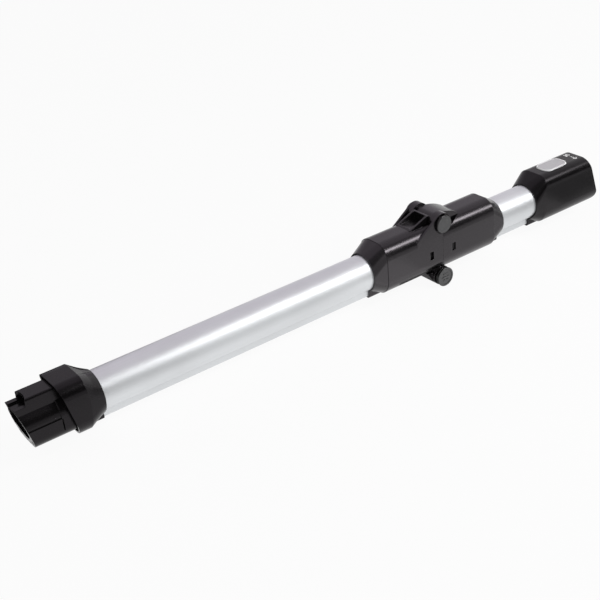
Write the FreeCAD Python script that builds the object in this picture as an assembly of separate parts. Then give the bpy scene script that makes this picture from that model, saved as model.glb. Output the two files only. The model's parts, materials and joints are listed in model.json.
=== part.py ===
# Folding wand for a cordless vacuum cleaner, in millimetres.
# Two aluminium tubes with a wire channel below meet at a knee that folds about a pin on top.
# The plug end is at the origin, the tube axis is +X, and the release button's side is +Z.
# Lengths along the joint and the socket are measured from the knee's parting plane.
import FreeCAD, Part
import math
import os

V = FreeCAD.Vector

# Clearances and walls
fit = 0.1                  # between pieces seated in one body
run = 0.3                  # between pieces that move past each other
pin_run = 0.08             # radial clearance of a moving piece on its pin
fold_gap = 0.6             # round the ears, the knuckle and the barrel
parting = 0.15             # each half of the knee stops this far from the parting plane
shell_wall = 2.0
rib_t = 1.6

# Tube extrusion
tube_r = 19.0              # outer radius
tube_wall = 1.2
keel_half = 8.3            # half width of the wire channel
keel_drop = 5.6            # depth of its underside below the round tube
keel_corner = 2.0
keel_low = tube_r + keel_drop

# Wires
wire_r = 0.8
line_y = 3.4               # each side of the middle plane
line_drop = 0.8            # wires and contacts lie in one line this far below the round tube
line_z = -tube_r - line_drop
wire_room = 1.4            # clearance of an open notch round the wires

# Stations along the wand
airway_r = 15.0            # duct bore at both ends
duct_wall = 1.6
mouth_slant = 0.237        # slope of the plug's end cut, dx per dz
joint_x = 467.5            # parting plane of the knee
collar_mouth_x = 69.7      # where the lower tube leaves the collar's cone
collar_cone_len = 16.7
collar_len = 24.0          # box part of the collar, along its top
collar_slant = 0.224
joint_cone_len = 16.8
shell_len = 74.7           # each joint housing, from parting plane to seam
upper_gap = 47.0           # upper tube seen between its two cones
socket_cone_len = 16.0
socket_top_len = 87.0      # from the socket's cone mouth to its end, along the top
socket_slant = 0.31
socket_corner = 12.0       # round lower corner of the socket's end

# Joint housing section
shell_side = 2.9           # room beside the tube
shell_head = 10.9          # room above it
shell_foot = 2.4           # room below the wire channel
shell_half = tube_r + shell_side
shell_top = tube_r + shell_head
shell_low = keel_low + shell_foot
shell_r_top = 16.0
shell_r_low = 17.5
seam_step = 0.4            # the ferrule's cone is this much smaller at the seam

# Collar section
collar_side = 5.3
collar_head = 12.0
collar_foot = 2.9
collar_half = tube_r + collar_side
collar_top = tube_r + collar_head
collar_low = keel_low + collar_foot
collar_r_top = 14.0
collar_r_low = 18.0

# Socket section
socket_side = 2.2
socket_head = 11.0
socket_foot = 1.9
socket_half = tube_r + socket_side
socket_top = tube_r + socket_head
socket_low = keel_low + socket_foot
socket_r_top = 13.0
socket_r_low = 16.0

# Cones
cone_lip = 1.7             # wall of a cone at its mouth
lip_len = 3.0
lip_t = 2.0                # bulkhead at the joint's seam
cone_rib_half = 0.8
cone_rib_angle = 52.0
round_flat = 0.4

# Hinge
hinge_rise = 0.5
hinge_z = shell_top + hinge_rise
pin_r = 4.0
head_r = 9.6
head_t = 3.3
head_edge = 0.6
pin_cover = 1.2            # closed end of the hinge cap
ear_r = 11.5
ear_rim = 0.9              # thin rim round the ring groove that frames each pin head
ring_groove = 1.4
head_seat = 8.4            # radius of the land that a pin head rests on
knuckle_r = 8.4
knuckle_half = 12.8
ear_in = knuckle_half + run
gusset_t = 2.5
gusset_x = 35.0            # foot of the gusset, from the parting plane
gusset_foot = 6.0          # height of its foot above the side wall's flat
dome_len = 30.0
dome_step = 0.36           # height of the arm's end above the housing
dome_wall = 1.8
hollow_gap = 4.0
hollow_x = knuckle_r + hollow_gap
pocket_wall = 1.8
notch_x = 4.0              # where the slanted notch meets the side
notch_drop = 6.4
notch_z = shell_top - notch_drop

# Ramp block on the lower housing
ramp_half = 11.0
ramp_rail = 2.2
ramp_bar = 2.3
ramp_foot_x = 34.6
ramp_rise = 0.2            # the rails' foot above the housing, and the bar above the knuckle
ramp_z = hinge_z + knuckle_r + ramp_rise

# Side windows and snap fingers
window_x = 15.4
window_w = 5.0
window_h = 9.0
window_z = -1.5
finger_t = 1.4
finger_play = 0.5
barb_sink = 1.3            # the barb stays this far below the housing's side

# Button barrel below the knee
barrel_drop = 3.9          # its axis below the housing
barrel_z = -shell_low - barrel_drop
barrel_r = 10.5
barrel_half = 18.9         # half length of the fixed sleeve
barrel_wall = 1.6
barrel_bore = barrel_r - barrel_wall
barrel_liner = 1.4
button_head = 1.5
button_groove = 1.1
button_flange = 1.2
button_rim = 2.0
button_relief = 0.5
button_edge = 0.4
grip_pitch = 3.4           # three raised bars on the button's face
grip_half = 4.6
grip_less = 1.2
grip_w = 1.2
slot_play = 0.5
latch_travel = 2.4
button_face = barrel_half + latch_travel + fit + button_flange + button_groove + button_head
shaft_r = 4.0
slot_wall = 2.4
fork_gap = 0.6
fork_t = 3.0
fork_half = 5.0
fork_reach = 5.0           # how far the prongs pass the shaft's middle
fork_root = barrel_r
slot_half = fork_half + fork_gap
slot_room = 1.5
slot_back = fork_reach + slot_room
web_half = 15.0
web_x = 16.0
collar_r = 7.0
collar_t = 1.5
shaft_past = 2.8           # shaft beyond its collar, inside the spring
cap_t = 1.8
cap_plug = 2.5
latch_coil_r = 5.6
latch_wire_r = 0.45
latch_turns = 3
coil_steps = 12            # sections in each turn of a spring
coil_sides = 8             # of a spring's wire

# Hose across the knee, and the ducts that carry it
insert_len = 16.0          # how far a ferrule reaches into its housing
tube_in = 14.0             # how far the tube reaches past the seam
hose_root = airway_r
hose_depth = 1.6
hose_wall = 0.8
hose_folds = 12
hose_gap = 2.7             # from the hose's end to the taper of its nozzle
cuff_len = 8.0
cuff_t = 1.5
cuff_lug = 5.4
wire_grip = 3.0
nozzle_wall = 1.4
nozzle_past = 2.0
duct_step = 0.5
duct_bore = airway_r + duct_step
duct_flange = 2.5
duct_neck = 5.0
duct_taper = 3.0

# Plug spigot
spigot_r = airway_r + duct_wall
body_half = 17.8
body_top = -1.0
body_drop = 3.0
body_low = tube_r + body_drop
body_r = 11.0
block_half = 10.0
block_rise = 8.0
block_top = tube_r + block_rise
block_x = 2.2              # end of the connector block
block_wall = 1.6
block_edge = 2.0
block_lip = 1.5            # lip that the catch's barb holds
block_hollow = 2.8         # depth of the round hollow in the end of its roof
shelf_rise = 5.0           # shelf in front of the block, above the bore
tongue_half = 5.2          # half width of the groove for a catch tongue
rail_x = 28.2              # groove that parts the lower rail
rail_groove = 1.2
rail_depth = 12.0
flange_t = 3.0
flange_x = 44.0
sleeve_len = 22.0
core_r = 2.2
core_y = 12.3
core_z = -15.6

# Contacts
contact_r = 1.3
contact_bore = 0.95
contact_x = 3.0
contact_len = 16.0
contact_floor = 3.0
pin_contact_r = 0.75
pin_reach = 8.0            # how far a pin enters its sleeve
contact_block_half = 6.5
contact_block_h = 4.4
block_back = 4.0           # contact block behind the bulkhead
block_front = 1.0

# Socket fittings
button_in = 26.9           # near end of the release button, from the cone's mouth
button_len = 40.0
button_w = 21.0
button_r = 8.0
button_proud = 0.9
button_gap = 0.4
button_skin = 1.2
button_skirt = 4.2
button_wall = 1.4
button_bevel = 1.3
release_travel = 1.8
well_wall = 1.4
well_depth = 4.6
lever_in = 34.5            # its pivot, from the cone's mouth
lever_t = 1.6
lever_half = 4.0
lever_boss = 2.5
lever_tip = 33.5
lever_tail = 14.5
lever_drop = 7.7
press_arm = 18.0
stem_half = 1.5
barb_len = 4.0
barb_h = 1.7
catch_pin_r = 1.2
lug_t = 1.8
lug_half = 3.5
coil_gap = 0.65            # between the button's well and the catch's spring
tail_coil_r = 1.5
tail_wire_r = 0.25
tail_turns = 4
bulk_in = 43.0             # bulkhead, from the cone's mouth
bulk_t = 2.4
plug_clear = 0.5           # play between a plug and the socket's cavity
seal_t = 2.5
seat_in = 56.5             # where a plug's end comes to rest, from the cone's mouth

# Stations worked out from the sizes above
hose_half = shell_len - insert_len - duct_neck - duct_taper - cuff_len - hose_gap
dome_fall = hinge_z + knuckle_r - shell_top - dome_step
dome_r = (dome_len * dome_len + dome_fall * dome_fall) / (2 * dome_fall)
plug_end_x = -mouth_slant * airway_r
tube_start_x = flange_x + flange_t + fit
contact_end = contact_x + contact_len
socket_mouth_x = shell_len + joint_cone_len + upper_gap
socket_box_x = socket_mouth_x + socket_cone_len
socket_end_x = socket_mouth_x + socket_top_len + socket_slant * socket_top
tube_end_x = socket_box_x
button_x = socket_mouth_x + button_in + button_len / 2
lever_pivot_x = socket_mouth_x + lever_in
spring_x = button_x - button_len / 2 - button_gap - well_wall - coil_gap - tail_coil_r - tail_wire_r
bulk_x = socket_mouth_x + bulk_in
seat_x = socket_mouth_x + seat_in
cavity_x = bulk_x + bulk_t
block_stop_x = seat_x + block_x
pin_tip_x = seat_x + contact_x + pin_reach
shelf_top = airway_r + shelf_rise
shoulder_stop_x = seat_x + rail_x
lever_z = socket_top - lever_drop
lever_top = lever_z + lever_t / 2
pressed_z = socket_top + button_proud - button_skirt - release_travel
collar_y = slot_half + slot_wall + run
far = 60.0                 # beyond every face of a section


def cyl_x(radius, x0, x1, y=0.0, z=0.0):
    return Part.makeCylinder(radius, x1 - x0, V(x0, y, z), V(1, 0, 0))


def cyl_y(radius, y0, y1, x=0.0, z=0.0):
    return Part.makeCylinder(radius, y1 - y0, V(x, y0, z), V(0, 1, 0))


def box(x0, x1, y0, y1, z0, z1):
    return Part.makeBox(x1 - x0, y1 - y0, z1 - z0, V(x0, y0, z0))


def both_sides(shape):
    """The shape together with its mirror image about the middle plane."""
    return shape.fuse(shape.mirror(V(0, 0, 0), V(0, 1, 0)))


def mirror_x(shape):
    """The other half's copy of a joint piece, mirrored about the parting plane."""
    return shape.mirror(V(0, 0, 0), V(1, 0, 0))


def at_joint(shape):
    return shape.translated(V(joint_x, 0, 0))


def corner(y, z, radius, a0, a1, x):
    """A quarter arc about (y, z) from angle a0 to a1, in the plane at x."""
    pts = []
    for a in (a0, (a0 + a1) / 2, a1):
        rad = math.radians(a)
        pts.append(V(x, y + radius * math.cos(rad), z + radius * math.sin(rad)))
    return Part.Arc(*pts).toShape()


def section(x, half, top, low, r_top, r_low):
    """A closed outline with round corners: flat top and sides, in the plane at x."""
    a = half - r_top
    b = half - r_low
    zt = top - r_top
    zl = -low + r_low
    edges = [
        corner(a, zt, r_top, 90, 0, x),
        Part.makeLine(V(x, half, zt), V(x, half, zl)),
        corner(b, zl, r_low, 0, -90, x),
        Part.makeLine(V(x, b, -low), V(x, -b, -low)),
        corner(-b, zl, r_low, -90, -180, x),
        Part.makeLine(V(x, -half, zl), V(x, -half, zt)),
        corner(-a, zt, r_top, 180, 90, x),
        Part.makeLine(V(x, -a, top), V(x, a, top)),
    ]
    return Part.Wire(edges)


def shell_section(x, inset=0.0):
    return section(x, shell_half - inset, shell_top - inset, shell_low - inset,
                   shell_r_top - inset, shell_r_low - inset)


def collar_section(x, inset=0.0):
    return section(x, collar_half - inset, collar_top - inset, collar_low - inset,
                   collar_r_top - inset, collar_r_low - inset)


def socket_section(x, inset=0.0):
    return section(x, socket_half - inset, socket_top - inset, socket_low - inset,
                   socket_r_top - inset, socket_r_low - inset)


def round_section(x, radius):
    """Almost a circle, with the same eight edges as the box sections."""
    r = radius - round_flat
    return section(x, radius, radius, radius, r, r)


def bar(wire, x1):
    """The prism from a wire's plane to the plane at x1."""
    x0 = wire.Vertexes[0].X
    return Part.Face(wire).extrude(V(x1 - x0, 0, 0))


def loft(first, last):
    return Part.makeLoft([first, last], True, True)


def tube_form(x0, x1, grow=0.0):
    """The tube's outside with its keel, grown evenly."""
    half = keel_half + grow
    low = keel_low + grow
    keel = box(x0, x1, -half, half, -low, 0)
    rims = [e for e in keel.Edges if abs(e.BoundBox.ZMax + low) < 0.01 and e.BoundBox.XLength > 1]
    keel = keel.makeFillet(keel_corner, rims)
    return cyl_x(tube_r + grow, x0, x1).fuse(keel)


def tube(x0, x1):
    """The drawn tube: round bore above, flat wire channel below."""
    inner_half = keel_half - tube_wall
    channel = box(x0 - 1, x1 + 1, -inner_half, inner_half, -keel_low + tube_wall, 0)
    channel = channel.cut(cyl_x(tube_r, x0 - 2, x1 + 2))
    return tube_form(x0, x1).cut(cyl_x(tube_r - tube_wall, x0 - 1, x1 + 1)).cut(channel)


def cone(mouth_x, seam_x, outer, inner):
    """A hollow, ribbed cone from the tube's outside at mouth_x up to a box section at seam_x."""
    way = 1 if seam_x > mouth_x else -1
    x0 = min(mouth_x, seam_x)
    x1 = max(mouth_x, seam_x)
    skin = loft(round_section(mouth_x, tube_r + cone_lip), outer)
    low = keel_low + cone_lip
    half = keel_half + cone_lip
    shroud = box(x0, x1, -half, half, -low, 0)
    rims = [e for e in shroud.Edges if abs(e.BoundBox.ZMax + low) < 0.01 and e.BoundBox.XLength > 1]
    shroud = shroud.makeFillet(keel_corner + cone_lip / 2, rims)
    hollow = loft(round_section(mouth_x + way * lip_len, tube_r + fit), inner)
    rib = box(x0, x1, -cone_rib_half, cone_rib_half, 0, far)
    leaning = rib.rotated(V(0, 0, 0), V(1, 0, 0), cone_rib_angle)
    ribs = skin.common(rib.fuse(both_sides(leaning)))
    return skin.fuse(shroud).cut(hollow).fuse(ribs).cut(tube_form(x0 - 1, x1 + 1, fit))


def slanted_end(x_axis, slope, way=-1):
    """A big block that removes everything beyond a slanted plane through (x_axis, z = 0)."""
    away = x_axis + way * 4 * far
    pts = [V(x_axis - slope * far, -far, far), V(x_axis + slope * far, -far, -far),
           V(away, -far, -far), V(away, -far, far)]
    return Part.Face(Part.makePolygon(pts + pts[:1])).extrude(V(0, 2 * far, 0))


def tangent_point(px, pz, cz, radius, side):
    """Where a line from (px, pz) touches the circle about (0, cz), in the middle plane."""
    reach = math.hypot(px, pz - cz)
    angle = math.atan2(pz - cz, px) + side * math.acos(radius / reach)
    return V(radius * math.cos(angle), 0, cz + radius * math.sin(angle))


def plate(points, y0, y1):
    """A flat plate between y0 and y1 from its outline in the middle plane."""
    face = Part.Face(Part.makePolygon(points + points[:1]))
    return face.extrude(V(0, y1 - y0, 0)).translated(V(0, y0, 0))


# Plug end

def plug_collar():
    """The cone and the bevelled shroud round the spigot, in one moulded shell."""
    crease = collar_mouth_x - collar_cone_len
    top_end = crease - collar_len
    tip = top_end + collar_slant * collar_top
    skin = bar(collar_section(crease), top_end - 1)
    inner = bar(collar_section(crease, shell_wall), top_end - 2)
    shroud = skin.cut(inner).cut(slanted_end(tip, collar_slant))
    cap = cone(collar_mouth_x, crease, collar_section(crease), collar_section(crease, shell_wall))
    return cap.fuse(shroud).removeSplitter()


def plug_form(x0, x1, grow=0.0):
    """The outside of a plug, grown evenly: round duct above, keyed body below."""
    duct = cyl_x(spigot_r + grow, x0, x1)
    wire = section(x0, body_half + grow, tube_r / 2, body_low + grow, 1, body_r + grow)
    body = bar(wire, x1).cut(box(x0 - 1, x1 + 1, -far, far, body_top + grow, far))
    return duct.fuse(body)


def plug_spigot():
    """The spigot with its shelf, connector block and flange, and the sleeve that enters the tube's bore."""
    x0 = -sleeve_len
    form = plug_form(x0, flange_x).fuse(cyl_x(body_half, rail_x, flange_x))
    block = box(block_x, flange_x, -block_half, block_half, 0, block_top)
    rims = [e for e in block.Edges if e.BoundBox.ZMin > block_top - 0.1 and e.BoundBox.XLength > 1]
    block = block.makeFillet(block_edge, rims)
    nose_r = (block_half * block_half + block_hollow * block_hollow) / (2 * block_hollow)
    nose = Part.makeCylinder(nose_r, far, V(block_x + block_hollow - nose_r, 0, shelf_top))
    shelf = box(x0, block_x + 1, -block_half, block_half, 0, shelf_top)
    flange = bar(collar_section(flange_x, shell_wall + fit), flange_x + flange_t)
    sleeve = cyl_x(tube_r - tube_wall - fit, flange_x, flange_x + sleeve_len)
    form = form.fuse(block.cut(nose)).fuse(shelf).fuse(flange).fuse(sleeve)
    form = form.cut(slanted_end(plug_end_x, mouth_slant))
    form = form.cut(cyl_x(airway_r, x0 - 1, flange_x + sleeve_len + 1))
    floor_z = spigot_r + block_wall
    roof_z = block_top - block_wall
    lip_z = roof_z - block_lip
    back = block_x + block_hollow + block_wall
    hollow_half = block_half - block_wall
    form = form.cut(box(back, flange_x - flange_t, -hollow_half, hollow_half, floor_z, roof_z))
    form = form.cut(box(block_x, back + 1, -hollow_half, hollow_half, shelf_top, lip_z))
    form = form.cut(box(x0, back + 1, -tongue_half, tongue_half, floor_z, lip_z))
    step = box(rail_x, rail_x + rail_groove, -body_half - 1, body_half + 1,
               body_top - rail_depth, body_top + fit)
    form = form.cut(step.cut(cyl_x(spigot_r, 0, flange_x)))
    for side in (-1, 1):
        form = form.cut(cyl_x(core_r, x0, flange_x - 2 * flange_t, side * core_y, core_z))
        form = form.cut(cyl_x(contact_r + fit, x0, contact_end + fit, side * line_y, line_z))
        form = form.cut(cyl_x(wire_r + fit, contact_end, flange_x + flange_t + 1, side * line_y, line_z))
    return form.removeSplitter()


def plug_contacts():
    """Two sleeves in the spigot's lower body, open towards the plug's end."""
    out = []
    for side in (-1, 1):
        sleeve = cyl_x(contact_r, contact_x, contact_end, side * line_y, line_z)
        bore = cyl_x(contact_bore, contact_x - 1, contact_end - contact_floor, side * line_y, line_z)
        out.append(sleeve.cut(bore))
    return Part.makeCompound(out)


def wires(x0, x1):
    return Part.makeCompound([cyl_x(wire_r, x0, x1, side * line_y, line_z) for side in (-1, 1)])


# Knee pieces, in the frame of the parting plane. The lower half is at negative X.

def ferrule():
    """Cone, bulkhead and insert that clamp a tube's end and carry the housing."""
    seam = -shell_len
    mouth = seam - joint_cone_len
    end = seam + insert_len
    inner = shell_section(seam - lip_t, seam_step + shell_wall)
    shape = cone(mouth, seam, shell_section(seam, seam_step), inner)
    insert = bar(shell_section(seam, shell_wall + fit), end)
    core = bar(shell_section(seam + lip_t, shell_wall + fit + rib_t), end + 1)
    core = core.cut(cyl_x(tube_r + rib_t, seam, end + 2))
    core = core.cut(box(seam, end + 2, -far, far, -far, tube_r / 2))
    core = core.cut(box(seam, end + 2, -rib_t / 2, rib_t / 2, 0, far))
    shape = shape.fuse(insert).cut(core)
    shape = shape.cut(tube_form(mouth - 1, seam + tube_in + fit, fit))
    shape = shape.cut(box(seam, end + 1, -keel_half - fit, keel_half + fit, -far, -tube_r + shell_wall))
    return shape.cut(cyl_x(duct_bore, mouth - 1, end + 1)).removeSplitter()


def duct():
    """The flanged duct with the hose nozzle and the two snap fingers."""
    x0 = -shell_len + insert_len + fit
    neck = x0 + duct_neck
    step = neck + duct_taper
    nozzle_r = hose_root - fit
    throat = nozzle_r - nozzle_wall
    flange = bar(shell_section(x0, shell_wall + fit), x0 + duct_flange)
    outer = cyl_x(duct_bore + nozzle_wall, x0, neck)
    taper = Part.makeCone(duct_bore + nozzle_wall, nozzle_r, duct_taper, V(neck, 0, 0), V(1, 0, 0))
    nozzle = cyl_x(nozzle_r, step, -hose_half + nozzle_past)
    shape = flange.fuse(outer).fuse(taper).fuse(nozzle)
    shape = shape.cut(cyl_x(duct_bore, x0 - 1, neck))
    shape = shape.cut(Part.makeCone(duct_bore, throat, duct_taper, V(neck, 0, 0), V(1, 0, 0)))
    shape = shape.cut(cyl_x(throat, step, 0))
    half = line_y + wire_room
    shape = shape.cut(box(x0 - 1, x0 + duct_flange + 1, -half, half, -far, line_z + wire_room))
    y1 = shell_half - shell_wall - fit
    z0 = window_z - window_h / 2 + finger_play
    z1 = window_z + window_h / 2 - finger_play
    tip = -window_x + window_w / 2 - finger_play
    heel = -window_x - window_w / 2 + finger_play
    finger = box(x0, tip, y1 - finger_t, y1, z0, z1)
    pts = [V(heel, y1 - fit, z0), V(tip, y1 - fit, z0), V(heel, shell_half - barb_sink, z0)]
    barb = Part.Face(Part.makePolygon(pts + pts[:1])).extrude(V(0, 0, z1 - z0))
    return shape.fuse(both_sides(finger.fuse(barb))).removeSplitter()


def cuff():
    """The ring that clamps the hose end on its nozzle, with the lug the wires enter."""
    r_in = hose_root + hose_wall + fit
    x1 = -hose_half
    x0 = x1 - cuff_len
    half = line_y + wire_room
    lug = box(x0, x0 + cuff_lug, -half, half, line_z - 2 * wire_r, 0)
    shape = cyl_x(r_in + cuff_t, x0, x1).fuse(lug).cut(cyl_x(r_in, x0 - 1, x1 + 1))
    for side in (-1, 1):
        shape = shape.cut(cyl_x(wire_r + fit, x0 - 1, x0 + wire_grip, side * line_y, line_z))
    return shape.removeSplitter()


def hose():
    """A plain sleeve at each end and a row of folds between them, turned about the axis."""
    pitch = 2 * hose_half / hose_folds
    end = hose_half + cuff_len
    points = [(-end, hose_root)]
    for k in range(hose_folds):
        points.append((-hose_half + k * pitch, hose_root))
        points.append((-hose_half + (k + 0.5) * pitch, hose_root + hose_depth))
    points.append((hose_half, hose_root))
    points.append((end, hose_root))
    inner = [V(x, 0, r) for x, r in points]
    outer = [V(x, 0, r + hose_wall) for x, r in reversed(points)]
    face = Part.Face(Part.makePolygon(inner + outer + inner[:1]))
    return face.revolve(V(0, 0, 0), V(1, 0, 0), 360)


def shell(x_low, x_high):
    return bar(shell_section(x_low), x_high).cut(bar(shell_section(x_low - 1, shell_wall), x_high + 1))


def windows(shape, x):
    """Cuts the two snap windows through the side walls at x."""
    half_x = window_w / 2
    half_z = window_h / 2
    cut = box(x - half_x, x + half_x, shell_half - shell_wall - 1, far, window_z - half_z, window_z + half_z)
    return shape.cut(both_sides(cut))


def gusset():
    """The thin plate that rises from the side wall to the ear's ring, tangent to it."""
    flat_z = shell_top - shell_r_top
    foot = V(-gusset_x, 0, flat_z + gusset_foot)
    touch = tangent_point(foot.x, foot.z, hinge_z, ear_r, -1)
    low = flat_z - shell_wall
    pts = [V(-gusset_x, 0, low), foot, touch, V(0, 0, hinge_z), V(-parting, 0, low)]
    return plate(pts, shell_half - gusset_t, shell_half)


def ramp():
    """The ribbed stop block between the ears: two rails, a bar across the top, hollow between."""
    bar_x = -knuckle_r - fold_gap
    foot = shell_top - shell_wall / 2
    pts = [V(-ramp_foot_x, 0, foot), V(-ramp_foot_x, 0, shell_top + ramp_rise),
           V(bar_x - ramp_bar, 0, ramp_z), V(bar_x, 0, ramp_z), V(bar_x, 0, foot)]
    inner = ramp_half - ramp_rail
    hollow = box(-ramp_foot_x + ramp_rail, bar_x - ramp_bar, -inner, inner, shell_top, far)
    return plate(pts, -ramp_half, ramp_half).cut(hollow)


def barrel_bore_form():
    """What is bored out of the button barrel: a pocket at each end and the shaft's hole."""
    wall = slot_half + slot_wall
    pockets = both_sides(cyl_y(barrel_bore, wall, barrel_half + 1, 0, barrel_z))
    return pockets.fuse(cyl_y(shaft_r + run, -wall - 1, wall + 1, 0, barrel_z))


def lower_housing():
    """Housing with the ears, gussets, stop block and button barrel."""
    x0 = -shell_len
    x1 = -parting
    outer = bar(shell_section(x0), x1)
    pocket = knuckle_r + fold_gap
    liner = cyl_y(pocket + shell_wall, -ear_in - 1, ear_in + 1, 0, hinge_z).common(outer)
    ear = cyl_y(ear_r, ear_in, shell_half, 0, hinge_z)
    body = shell(x0, x1).fuse(liner).fuse(ramp()).fuse(both_sides(ear.fuse(gusset())))
    body = body.cut(cyl_y(pocket, -ear_in, ear_in, 0, hinge_z))
    body = body.cut(cyl_y(pin_r + fit / 2, -far, far, 0, hinge_z))
    groove = cyl_y(ear_r - ear_rim, shell_half - ring_groove, far, 0, hinge_z)
    body = body.cut(both_sides(groove.cut(cyl_y(head_seat, 0, 2 * far, 0, hinge_z))))
    root_z = -shell_low + shell_wall / 2
    touch = tangent_point(-web_x, root_z, barrel_z, barrel_r, 1)
    web = plate([V(-web_x, 0, root_z), touch, V(0, 0, barrel_z), V(x1, 0, root_z)], -web_half, web_half)
    body = body.fuse(cyl_y(barrel_r, -barrel_half, barrel_half, 0, barrel_z)).fuse(web)
    slot = box(-slot_back, 2 * barrel_r, -slot_half, slot_half,
               barrel_z - 2 * barrel_r, barrel_z + barrel_r + 1)
    return windows(body.cut(barrel_bore_form()).cut(slot), -window_x).removeSplitter()


def dome_side(x0, x1, crest, radius, low, half):
    """A block under an arc whose crest is over the hinge, from x0 to x1."""
    xs = (x0, (x0 + x1) / 2, x1)
    on_arc = [V(x, 0, crest - radius + math.sqrt(radius * radius - x * x)) for x in xs]
    corners = [on_arc[2], V(x1, 0, low), V(x0, 0, low), on_arc[0]]
    edges = [Part.Arc(*on_arc).toShape()]
    edges += [Part.makeLine(corners[i], corners[i + 1]) for i in range(3)]
    face = Part.Face(Part.Wire(edges))
    return face.extrude(V(0, 2 * half, 0)).translated(V(0, -half, 0))


def dome():
    """The arched arm that fairs the knuckle into the upper housing's top, and its hollow."""
    crest = hinge_z + knuckle_r
    under = shell_top - shell_wall
    arm = dome_side(0, dome_len, crest, dome_r, under, knuckle_half)
    hollow = dome_side(hollow_x, dome_len - dome_wall, crest - dome_wall, dome_r - dome_wall,
                       under - 1, knuckle_half - dome_wall)
    return arm, hollow


def ear_pocket(grow):
    """Room for one ear in the upper housing, with the slanted notch beside the dome."""
    y0 = knuckle_half - grow
    y1 = shell_half + shell_wall
    z0 = notch_z - grow
    swing = cyl_y(ear_r + fold_gap + grow, y0, far, 0, hinge_z)
    pts = [V(0, y0, z0), V(dome_len + grow, y0, z0), V(notch_x + grow, y1, z0), V(0, y1, z0)]
    return swing.fuse(Part.Face(Part.makePolygon(pts + pts[:1])).extrude(V(0, 0, far)))


def fork():
    """Two prongs that pass above and below the latch shaft, on arcs about the hinge."""
    drop = hinge_z - barrel_z
    end = fork_root + fork_t
    reach = drop + shaft_r + fork_gap + fork_t
    shape = box(fork_root, end, -fork_half, fork_half,
                hinge_z - math.sqrt(reach * reach - end * end), -shell_low + shell_wall / 2)
    for r_in in (drop - shaft_r - fork_gap - fork_t, drop + shaft_r + fork_gap):
        ring = cyl_y(r_in + fork_t, -fork_half, fork_half, 0, hinge_z)
        ring = ring.cut(cyl_y(r_in, -fork_half - 1, fork_half + 1, 0, hinge_z))
        shape = shape.fuse(ring.common(box(-fork_reach, end, -fork_half, fork_half, -2 * far, 0)))
    return shape


def upper_housing():
    """Housing with the knuckle, its dome, the ear pockets and the latch fork."""
    x0 = parting
    x1 = shell_len
    outer = bar(shell_section(x0), x1)
    arm, hollow = dome()
    notch_r = barrel_r + fold_gap
    half = barrel_half + fold_gap
    liner = cyl_y(notch_r + barrel_liner, -half - 1, half + 1, 0, barrel_z)
    pockets = both_sides(ear_pocket(pocket_wall)).fuse(liner).common(outer)
    body = shell(x0, x1).fuse(pockets).fuse(arm)
    root = cyl_y(knuckle_r + pocket_wall, -knuckle_half, knuckle_half, 0, hinge_z).common(outer)
    body = body.fuse(root).cut(both_sides(ear_pocket(0)))
    body = body.cut(cyl_y(notch_r, -half, half, 0, barrel_z)).cut(hollow)
    knuckle = cyl_y(knuckle_r, -knuckle_half, knuckle_half, 0, hinge_z)
    body = body.fuse(knuckle).fuse(fork())
    body = body.cut(cyl_y(pin_r + pin_run, -far, far, 0, hinge_z))
    return windows(body, window_x).removeSplitter()


def bevel_rim(shape, y, size):
    """Bevels the round edge of a turned piece at y."""
    rims = [e for e in shape.Edges if e.BoundBox.YLength < 0.01 and abs(e.BoundBox.YMin - y) < 0.01]
    return shape.makeChamfer(size, rims)


def hinge_pin():
    """The pin with its round head at the front."""
    face = -shell_half - head_t
    head = bevel_rim(cyl_y(head_r, face, -shell_half, 0, hinge_z), face, head_edge)
    end = shell_half + head_t - pin_cover - fit
    return head.fuse(cyl_y(pin_r, -shell_half, end, 0, hinge_z)).removeSplitter()


def hinge_cap():
    """The head pressed on the pin's rear end."""
    y1 = shell_half + head_t
    cap = bevel_rim(cyl_y(head_r, shell_half, y1, 0, hinge_z), y1, head_edge)
    return cap.cut(cyl_y(pin_r + fit / 2, shell_half - 1, y1 - pin_cover, 0, hinge_z))


def latch_button():
    """Button head, groove, flange, hollow skirt and the shaft that the fork straddles."""
    face = -button_face
    head_in = face + button_head
    flange_out = head_in + button_groove
    flange_in = flange_out + button_flange
    skirt_r = barrel_bore - run
    skirt_end = -slot_half - slot_wall - latch_travel - slot_play
    shape = bevel_rim(cyl_y(barrel_r, face, head_in, 0, barrel_z), face, button_edge)
    shape = shape.fuse(cyl_y(skirt_r, head_in, flange_out, 0, barrel_z))
    shape = shape.fuse(cyl_y(barrel_r - run, flange_out, flange_in, 0, barrel_z))
    skirt = cyl_y(skirt_r, flange_in, skirt_end, 0, barrel_z)
    skirt = skirt.cut(cyl_y(skirt_r - barrel_wall, flange_in + barrel_wall, skirt_end + 1, 0, barrel_z))
    shaft = cyl_y(shaft_r, flange_in, collar_y + collar_t + shaft_past, 0, barrel_z)
    dish = cyl_y(barrel_r - button_rim, face - 1, face + button_relief, 0, barrel_z)
    for k in (-1, 0, 1):
        z = barrel_z + k * grip_pitch
        half = grip_half - abs(k) * grip_less
        dish = dish.cut(box(-half, half, face - 2, face + 2, z - grip_w / 2, z + grip_w / 2))
    return shape.fuse(skirt).fuse(shaft).cut(dish).removeSplitter()


def latch_collar():
    """The stop ring on the shaft, inside the barrel's rear pocket."""
    y1 = collar_y + collar_t
    ring = cyl_y(collar_r, collar_y, y1, 0, barrel_z)
    return ring.cut(cyl_y(shaft_r + fit / 2, collar_y - 1, y1 + 1, 0, barrel_z))


def latch_cap():
    """The rear end of the barrel: a round plug that holds the spring in."""
    y1 = barrel_half + cap_t
    disc = bevel_rim(cyl_y(barrel_r, barrel_half, y1, 0, barrel_z), y1, button_edge)
    plug = cyl_y(barrel_bore - fit, barrel_half - cap_plug, barrel_half, 0, barrel_z)
    return disc.fuse(plug).removeSplitter()


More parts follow.
